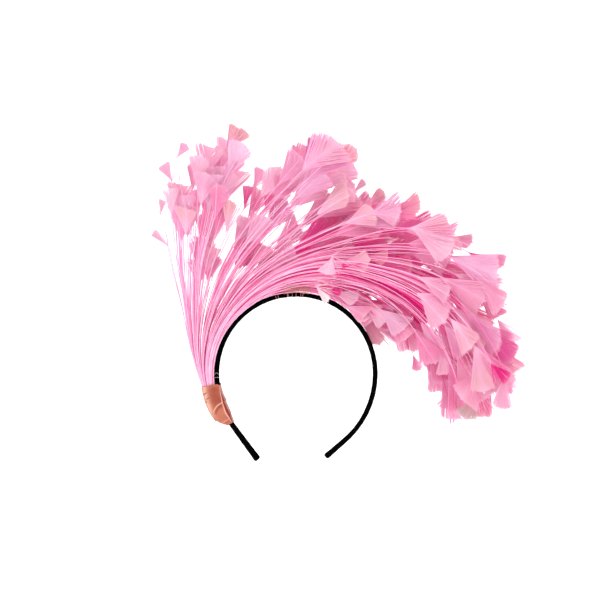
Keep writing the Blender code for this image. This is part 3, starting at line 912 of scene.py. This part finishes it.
def makeSatinMaterial(name, dye):  # satin ribbon with fine warp threads, a darker dye cloud, painted shade from an attribute and, on the copper ribbon, a painted highlight
    satin = satins[name]
    material, tree, shader = newMaterial(name, **{"Specular IOR Level": satin["shine"]})
    cloud, fleck = addDye(tree, dye, 160, 2600)
    under = attributeValue(tree, "paintedShade")
    tint = mixColours(tree, mathNode(tree, "MULTIPLY", cloud, 0.35), satin["colour"], satin["edge"])
    # painted shade under the turn edges and in the folds, creases and hollows
    tint = mixColours(tree, mathNode(tree, "MULTIPLY", under, 0.75), tint, satin["edge"])
    # painted highlight on the folded edges of the copper ribbon
    if "paintedHighlight" in satin:
        tint = mixColours(tree, attributeValue(tree, "paintedHighlight"), tint, satin["paintedHighlight"])
    rough = mathNode(tree, "ADD", mathNode(tree, "MULTIPLY", fleck, 0.12), satin["roughness"] - 0.06)
    uv = addNode(tree, "ShaderNodeUVMap", uv_map="ribbon")
    warp = addNode(tree, "ShaderNodeTexWave", {"Scale": 1.0, "Distortion": 0.6, "Vector": uv.outputs["UV"]})
    height = mathNode(tree, "ADD", warp.outputs["Fac"], mathNode(tree, "MULTIPLY", fleck, 0.5))
    bump = addNode(tree, "ShaderNodeBump", {"Strength": 0.25, "Distance": 0.00005, "Height": height})
    tree.links.new(tint, shader.inputs["Base Color"])
    tree.links.new(rough, shader.inputs["Roughness"])
    tree.links.new(bump.outputs["Normal"], shader.inputs["Normal"])
    return material


def bridge(shape, upper, lower, offset=0):  # faces between two rings of the same count
    sides = len(upper)
    for index in range(sides):
        after = (index + 1) % sides
        yield shape.faces.new((upper[index], upper[after],
                               lower[(after + offset) % sides], lower[(index + offset) % sides]))


def gridMesh(name, rings, labels, cyclic=False):
    # Loft through rings. Each spot of a ring comes with its values for the labelled attributes, and
    # the map is laid along and round the loft.
    shape = bmesh.new()
    layers = [shape.verts.layers.float.new(label) for label in labels]
    uvLayer = shape.loops.layers.uv.new("ribbon")
    made = []
    for ring in rings:
        row = []
        for spot, *values in ring:
            row.append(shape.verts.new(spot))
            for layer, value in zip(layers, values):
                row[-1][layer] = value
        made.append(row)
    sides = len(rings[0])
    pairs = list(zip(range(len(made)), range(1, len(made))))
    if cyclic:
        pairs.append((len(made) - 1, 0))
    runs = [0]
    for upper, lower in zip(rings, rings[1:]):
        runs.append(runs[-1] + (upper[0][0] - lower[0][0]).length)
    runs.append(runs[-1])
    for first, second in pairs:
        for index, face in enumerate(bridge(shape, made[first], made[second])):
            spots = ((first, index), (first, index + 1), (first + 1, index + 1), (first + 1, index))
            for loop, (row, column) in zip(face.loops, spots):
                turned = column / sides * weave["scale"] * weave["round"]
                loop[uvLayer].uv = (runs[row] * weave["scale"], turned)
    if not cyclic:
        for row in (made[0], made[-1]):
            middle = shape.verts.new(sum((vert.co for vert in row), Vector()) / sides)
            for index in range(sides):
                shape.faces.new((row[index], row[(index + 1) % sides], middle))
    bmesh.ops.recalc_face_normals(shape, faces=shape.faces)
    return finishShape(shape, name)


def windingRelief(run, angle):
    # Height over the core, and painted shade by how close the spot is to the edge that it goes under.
    share = (run / band["turnPitch"] + angle / tau) % 1
    return band["ridge"] * (1 - share), max(0, 1 - share * 7) ** 2 + max(0, share * 14 - 13)


def buildBandCover(dye):
    rings = []
    total = sideLength(-1) + sideLength(1)
    count = round(total / band["ringStep"])
    for step in range(count + 1):
        run = total * step / count
        side = -1 if run < sideLength(-1) else 1
        distance = abs(run - sideLength(-1))
        centre, along, outward = bandFrame(distance, side)
        fromEnd = sideLength(side) - distance
        twist = radians(band["endTwist"]) * smoothstep(1 - fromEnd / band["twistLength"])
        turn = Matrix.Rotation(twist, 3, along)
        across, out = turn @ Vector((0, 1, 0)), turn @ outward
        # The folded end rises over a quarter of its length and its rim is drawn in.
        fold = smoothstep((band["foldLength"] * 1.15 - fromEnd) / (band["foldLength"] * 0.25))
        swell = 1 + (band["foldSwell"] - 1) * fold
        rim = 1 - band["rimDraw"] * smoothstep(1 - fromEnd / band["rimLength"])
        ring = []
        for index in range(band["sides"]):
            angle = tau * index / band["sides"]
            reach, depth = superellipse(angle, band["thickness"] / 2, band["width"] / 2)
            relief, under = windingRelief(run, angle)
            relief *= 1 - fold
            core = out * reach + across * depth
            # painted shade under the edge of each turn, and across the rise of the folded end
            shade = max(under * (1 - fold), 1 - abs(fold - 0.5) * 2)
            ring.append((centre + core * swell * rim + core.normalized() * relief, shade))
        rings.append(ring)
    mesh = gridMesh("bandCover", rings, ["paintedShade"])
    cover = addObject("bandCover", mesh)
    mesh.materials.append(makeSatinMaterial("blackSatin", dye))
    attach(cover, "root")
    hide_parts("headband")
    print("built the band cover", len(mesh.polygons), "faces")


# Ribbon wrap

wrapRows = [
    # along, outward, inward, depth: shares of the bulge past a tight fit on the band
    (0.00, 1.06, 0.05, 0.95),
    (0.12, 1.06, 0.18, 1.00),
    (0.38, 1.02, 0.55, 1.00),
    (0.60, 0.92, 0.70, 0.92),
    (0.78, 0.68, 0.60, 0.66),
    (0.92, 0.34, 0.22, 0.30),
    (1.00, 0.04, 0.04, 0.04),
]

# Folds of the ribbon: shares of the wrap's length and degrees round it. 0 is the outer side, 270
# faces the front and 180 is the side by the head.
ribbon = {
    "rings": 110,
    "sides": 132,
    "innerRings": [0.55, 0.30, 0.10, 0.015],  # inner wall up to the mouth
    "lastRing": 0.93,
    "longFold": [(0.0, 232), (0.20, 249), (0.45, 260), (0.70, 264), (1.0, 256)],
    "foldHeight": 0.0011,
    "foldWidths": (15, 5),  # degrees after and before the fold
    "paintedFoldHighlight": 3.2,  # width in degrees of the painted highlight on the fold
    "turnEdges": [  # degrees, share; each row is the edge of one turn over the next
        [(0, 0.80), (60, 0.66), (150, 0.45), (200, 0.42), (262, 0.44), (275, 0.48), (300, 0.59),
         (325, 0.72), (360, 0.80)],
        [(0, 0.88), (80, 0.76), (180, 0.80), (240, 0.88), (300, 0.90), (360, 0.88)],
    ],
    "edgeHeight": [0.0009, 0.0004],
    "edgeRise": 0.015,
    "edgeSlope": 0.22,
    "paintedEdgeHighlight": (0.012, 0.011, 0.9),  # painted highlight: how far before the edge, width, strength
    "edgeShade": (0.045, 0.07, 0.9),
    "paintedSheen": (318, 17, 0.7),  # degrees, width and strength of the painted highlight on the first turn
    "creases": [(0.16, 322, 34), (0.27, 312, 26), (0.34, 330, 20), (0.20, 40, 40), (0.45, 100, 40)],
    "creaseDepth": 0.0009,
    "creaseWidth": 0.012,
    "creaseLean": 0.0012,  # share of the length to the degree
    "shadow": (276, 22, 0.75),  # degrees, width and strength of the shade beside the long fold
    "ruck": 0.00014,
    "lip": 0.0004,  # how uneven the mouth is
}


def bell(value):
    return exp(-value * value)


def wrapReaches(share):
    outward, inward, depth = readTable(wrapRows, share)
    snug = wrap["gap"] + wrap["ribbon"]
    tight = band["thickness"] / 2 + snug
    tightDepth = band["width"] / 2 + snug
    return (
        tight + (wrap["outReach"] - tight) * outward,
        tight + (wrap["inReach"] - tight) * inward,
        tightDepth + (wrap["depthReach"] - tightDepth) * depth,
    )


def longFold(share, past):  # height, painted shade and painted highlight; past is degrees past the fold's ridge
    after, before = ribbon["foldWidths"]
    if past > 0:
        height = ribbon["foldHeight"] * bell(past / after)
    else:
        height = ribbon["foldHeight"] * (bell(past / before) * 1.9 - 0.9)
    if past < -60:
        height *= smoothstep((past + 120) / 60)
    # painted shade on the face past the fold, which turns away from the light
    hollow = smoothstep(-(past + 3) / 7) * smoothstep((past + 110) / 30)
    return height, hollow * 1.25, bell((past - 1) / ribbon["paintedFoldHighlight"]) * smoothstep(share / 0.05)


def turnEdge(edge, step, share, bearing, past):
    gap = share - readTable(edge, bearing)[0]
    height = step * (1 - smoothstep(gap / ribbon["edgeRise"] + 0.5))
    height *= smoothstep(1 + gap / ribbon["edgeSlope"])
    shown = smoothstep((past + 2) / 4) * (1 - 0.8 * smoothstep((bearing - 295) / 20))
    shown *= step / max(ribbon["edgeHeight"])
    # painted highlight just before each turn's edge, painted shade just past it
    ahead, width, strength = ribbon["paintedEdgeHighlight"]
    paintedHighlight = bell((gap + ahead) / width) * shown * strength
    behind, width, strength = ribbon["edgeShade"]
    under = (1 - smoothstep(abs(gap - behind) / width)) * shown * strength
    return height, under, paintedHighlight


def ribbonRelief(share, bearing):
    # Height over the plain wrap, painted shade in the hollows and creases, and a painted highlight on the
    # folded edges.
    past = bearing - readTable(ribbon["longFold"], share)[0]
    parts = [longFold(share, past)]
    for edge, step in zip(ribbon["turnEdges"], ribbon["edgeHeight"]):
        parts.append(turnEdge(edge, step, share, bearing, past))
    heights, unders, paintedHighlights = (list(column) for column in zip(*parts))
    middle, width, strength = ribbon["paintedSheen"]
    paintedHighlights.append(bell((bearing - middle) / width) * (1 - smoothstep((share - 0.45) / 0.4)) * strength)
    height, paintedHighlight = sum(heights), max(paintedHighlights)
    for place, middle, reach in ribbon["creases"]:
        away = (share - place - ribbon["creaseLean"] * (bearing - middle)) / ribbon["creaseWidth"]
        crease = bell(away) * (1 - smoothstep(abs(bearing - middle) / reach))
        height -= ribbon["creaseDepth"] * crease
        # painted shade in the crease, which also takes out the painted highlight
        unders.append(crease * 1.1)
        paintedHighlight *= 1 - crease
    middle, width, strength = ribbon["shadow"]
    shadow = bell((bearing - middle) / width) * smoothstep(share / 0.1)
    unders.append(shadow * (1 - smoothstep((share - 0.35) / 0.3)) * strength)
    # painted shade along the outer side of the lower wrap, where it turns away
    unders.append(smoothstep((bearing - 334) / 16) * smoothstep((share - 0.25) / 0.2) * 0.6)
    ruck = sin(share * 52 + 2 * sin(radians(bearing * 2)))
    ruck *= sin(radians(bearing) * 3 + 1)
    return height + ribbon["ruck"] * ruck, max(unders), paintedHighlight


def buildRibbonWrap(dye):
    rings = []
    count = ribbon["rings"]
    route = [(share, True) for share in ribbon["innerRings"]]
    route += [(step / count, False) for step in range(count + 1)]
    route += [(ribbon["lastRing"], True)]
    for share, inner in route:
        centre, along, outward = bandFrame(wrapPlace(share), -1)
        outReach, inReach, halfDepth = wrapReaches(share)
        fade = (1 - smoothstep((share - 0.93) / 0.07)) * smoothstep(share / 0.02 + 0.2)
        atMouth = 1 - smoothstep(share / 0.12)
        ring = []
        for index in range(ribbon["sides"]):
            angle = tau * index / ribbon["sides"]
            sideReach = outReach if cos(angle) > 0 else inReach
            reach, depth = superellipse(angle, sideReach, halfDepth)
            relief, under, paintedSheen = ribbonRelief(share, degrees(angle))
            relief = -wrap["wall"] * 0.9 if inner else relief * fade
            side = Vector((0, depth, 0))
            direction = (outward * reach + side).normalized()
            lip = ribbon["lip"] * sin(angle * 2 + 0.8) + ribbon["lip"] * sin(angle * 5)
            spot = centre + outward * reach + side + direction * relief + along * lip * atMouth
            # the inner wall inside the mouth is painted in full shade; the outside carries the painted shade
            # and highlight
            ring.append((spot, 1, 0) if inner else (spot, under * fade, paintedSheen * fade))
        rings.append(ring)
    mesh = gridMesh("ribbonTurns", rings, ["paintedShade", "paintedHighlight"], cyclic=True)
    turns = addObject("ribbonTurns", mesh)
    mesh.materials.append(makeSatinMaterial("copperSatin", dye))
    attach(turns, "root")
    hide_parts("ribbon_wrap")
    print("built the ribbon wrap", len(mesh.polygons), "faces")


# Threads

threads = {
    "radius": 0.00016,
    "places": [-0.0165, -0.0085, -0.0020, 0.0040],
    "turns": 2,
    "turnSteps": 28,
    "shift": 0.0008,
    "lean": 0.0022,
    "slack": 0.0004,
    "rise": 0.0052,  # how far the turns reach above the band, round the lowest quills
    "rises": (0.45, 1.25),
    "loops": [(0.0060, 0.0042), (0.0052, 0.0012)],  # drop from the mouth of the wrap, height
    "loopSteps": 24,
    "loopGirth": 0.7,
    "knots": 70,
    "knotSpan": (-0.011, 0.013),
    "knotLift": (0.0026, 0.0052),
    "knotFront": (0.0105, 0.0145),
    "knotSize": (0.0006, 0.0017),
    "knotSteps": 13,
    "knotBend": 5.2,  # radians
    "sides": 6,
    "colours": {"lashingThreads": (0.72, 0.32, 0.29, 1), "threadLoop": (0.86, 0.74, 0.76, 1)},
    "seed": 3,
}


def tubeMesh(name, routes, radius):
    turns = [tau * turn / threads["sides"] for turn in range(threads["sides"])]
    shape = bmesh.new()
    for route, closed in routes:
        rings = []
        across = None
        for index, point in enumerate(route):
            before = route[index - 1] if index or closed else point
            after = route[(index + 1) % len(route)] if index < len(route) - 1 or closed else point
            along = (after - before).normalized()
            if across:
                across = (across - along * across.dot(along)).normalized()
            else:
                across = along.orthogonal().normalized()
            up = along.cross(across)
            rings.append([
                shape.verts.new(point + (across * cos(turn) + up * sin(turn)) * radius)
                for turn in turns
            ])
        pairs = [(upper, lower, 0) for upper, lower in zip(rings, rings[1:])]
        if closed:
            spots = [(rings[-1][0].co - vert.co).length for vert in rings[0]]
            pairs.append((rings[-1], rings[0], spots.index(min(spots))))
        for upper, lower, offset in pairs:
            list(bridge(shape, upper, lower, offset))
        if not closed:
            shape.faces.new(rings[0])
            shape.faces.new(rings[-1])
    bmesh.ops.recalc_face_normals(shape, faces=shape.faces)
    return finishShape(shape, name)


def overCrown(place):
    return bandFrame(abs(place), 1 if place >= 0 else -1)


def lashingTurn(x, chance):  # one turn of thread round the band and the lowest quills
    lean = chance.uniform(-threads["lean"], threads["lean"])
    rise = threads["rise"] * chance.uniform(*threads["rises"])
    start = x + chance.uniform(-threads["shift"], threads["shift"])
    halfHeight, halfWidth = band["thickness"] / 2, band["width"] / 2
    route = []
    for step in range(threads["turnSteps"]):
        angle = tau * step / threads["turnSteps"]
        centre, along, outward = overCrown(start + lean * sin(angle))
        reach, depth = superellipse(angle, halfHeight + threads["slack"], halfWidth + threads["slack"])
        if reach > 0:
            reach += rise * (reach / halfHeight) ** 1.5
        route.append(centre + outward * reach + Vector((0, depth, 0)))
    return route


def looseKnot(chance):  # a tangled end of thread over the crown
    centre, along, outward = overCrown(chance.uniform(*threads["knotSpan"]))
    low, spread = threads["knotLift"]
    lift = low + spread * chance.random() ** 1.4
    middle = centre + outward * lift + Vector((0, -chance.uniform(*threads["knotFront"]), 0))
    turn = Matrix.Rotation(chance.uniform(0, tau), 3, Vector((0, 1, 0.4)).normalized())
    size = chance.uniform(*threads["knotSize"])
    route = []
    for step in range(threads["knotSteps"] + 1):
        angle = threads["knotBend"] * step / threads["knotSteps"]
        spot = Vector((cos(angle) * 1.5, 0.5 * sin(angle * 1.7), sin(angle))) * size
        route.append(middle + turn @ spot)
    return route


def looseLoop(drop, height):  # over the band, past the mouth of the wrap
    route = []
    for step in range(threads["loopSteps"] + 1):
        share = step / threads["loopSteps"]
        place = wrapPlace(0) - drop - height * sin(pi * share * 0.8)
        centre, along, outward = bandFrame(place, -1)
        reach = 0.0034 - 0.0058 * share
        depth = -band["width"] / 2 - 0.0003 - 0.0016 * sin(pi * share)
        route.append(centre + outward * reach + Vector((0, depth, 0)))
    return route


def buildThreads():
    chance = random.Random(threads["seed"])
    lashing = [(lashingTurn(x, chance), True) for x in threads["places"] for turn in range(threads["turns"])]
    lashing += [(looseKnot(chance), False) for knot in range(threads["knots"])]
    loops = [(looseLoop(drop, height), False) for drop, height in threads["loops"]]
    for name, routes, girth in (("lashingThreads", lashing, 1), ("threadLoop", loops, threads["loopGirth"])):
        piece = addObject(name, tubeMesh(name, routes, threads["radius"] * girth))
        material, tree, shader = newMaterial(name, **{
            "Base Color": threads["colours"][name],
            "Roughness": 0.3,
            "IOR": 1.5,
            "Transmission Weight": 0.15,
        })
        piece.data.materials.append(material)
        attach(piece, "root")
        print("built", name, len(piece.data.polygons), "faces")


# Stage

stage = {"floor": -0.30, "back": 1.6, "sweep": 0.7, "halfWidth": 4.0, "front": -3.0, "top": 4.0, "steps": 16}
lights = {  # place, size, power
    "key": ((-0.9, -1.6, 1.6), 1.2, 16),
    "fill": ((1.4, -1.3, 0.6), 1.4, 6),
    "back": ((0.3, 1.2, 1.5), 1.0, 10),
}


def buildStage():
    profile = [(stage["front"], stage["floor"])]
    for step in range(stage["steps"] + 1):
        turn = pi / 2 * step / stage["steps"]
        profile.append((
            stage["back"] - stage["sweep"] + stage["sweep"] * sin(turn),
            stage["floor"] + stage["sweep"] * (1 - cos(turn)),
        ))
    profile.append((stage["back"], stage["top"]))
    shape = bmesh.new()
    rows = [[shape.verts.new((side * stage["halfWidth"], y, z)) for side in (-1, 1)] for y, z in profile]
    for low, high in zip(rows, rows[1:]):
        shape.faces.new((low[0], low[1], high[1], high[0]))
    floor = addObject("backdrop", finishShape(shape, "backdrop"))
    material, tree, shader = newMaterial("palePaper", **{
        "Roughness": 0.9,
        "Base Color": (0.93, 0.93, 0.93, 1),
        "Emission Color": (1, 1, 1, 1),
        "Emission Strength": 0.35,
    })
    floor.data.materials.append(material)


def buildLights():
    for name, (place, size, power) in lights.items():
        data = bpy.data.lights.new(name, "AREA")
        data.shape = "DISK"
        data.size = size
        data.energy = power
        light = addObject(name, data)
        light.location = place
        light.rotation_euler = (-Vector(place)).to_track_quat("-Z", "Y").to_euler()
    world = bpy.data.worlds.new("studio")
    world.use_nodes = True
    world.node_tree.nodes["Background"].inputs["Color"].default_value = (1, 1, 1, 1)
    world.node_tree.nodes["Background"].inputs["Strength"].default_value = 0.82
    bpy.context.scene.world = world
    bpy.context.scene.view_settings.view_transform = "Standard"


def buildCamera():
    data = bpy.data.cameras.new("camera")
    data.lens = photo["lens"]
    data.sensor_width = photo["sensor"]
    camera = addObject("camera", data)
    across = photo["width"] * photo["pixelSize"]
    distance = across * photo["lens"] / photo["sensor"]
    camera.location = Vector(photo["centre"]) + Vector((0, -distance, 0))
    camera.rotation_euler = (pi / 2, 0, 0)
    bpy.context.scene.camera = camera


dye = buildDyeGroup()
buildCamera()
buildLights()
buildStage()
buildBandCover(dye)
buildRibbonWrap(dye)
buildThreads()
buildPlume(dye)
print("built the plume")
